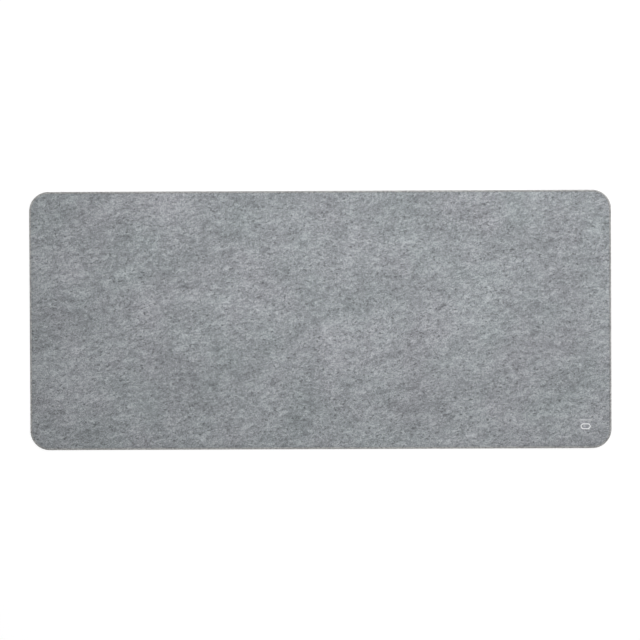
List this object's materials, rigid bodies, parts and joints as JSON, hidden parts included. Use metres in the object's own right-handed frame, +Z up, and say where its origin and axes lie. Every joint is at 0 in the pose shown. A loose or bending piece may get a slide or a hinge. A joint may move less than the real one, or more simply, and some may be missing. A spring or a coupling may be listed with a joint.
{
  "type": "desk mat",
  "caption": "Flat felt desk mat with rounded corners, an overlocked edge, a non-slip rubber base and a small pale emblem in one corner, for a keyboard and mouse.",
  "frame": {"origin": "middle of the underside, on the surface that the mat lies on", "axes": "+X along the mat to the user's right, +Y away from the user, +Z up out of the felt face"},
  "size_m": [0.9, 0.4, 0.004],
  "materials": {
    "felt": "matt mixed-fibre felt",
    "hot_melt": "milky film",
    "base_rubber": "matt, with low round studs",
    "sewing_thread": "twisted polyester",
    "emblem_film": "heat-pressed"
  },
  "bodies": {
    "root": {"felt_top": "felt", "adhesive_film": "hot_melt", "rubber_base": "base_rubber", "needle_thread": "sewing_thread", "upper_looper_thread": "sewing_thread", "lower_looper_thread": "sewing_thread", "emblem_bar": "emblem_film", "emblem_ring": "emblem_film"}
  },
  "joints": []
}
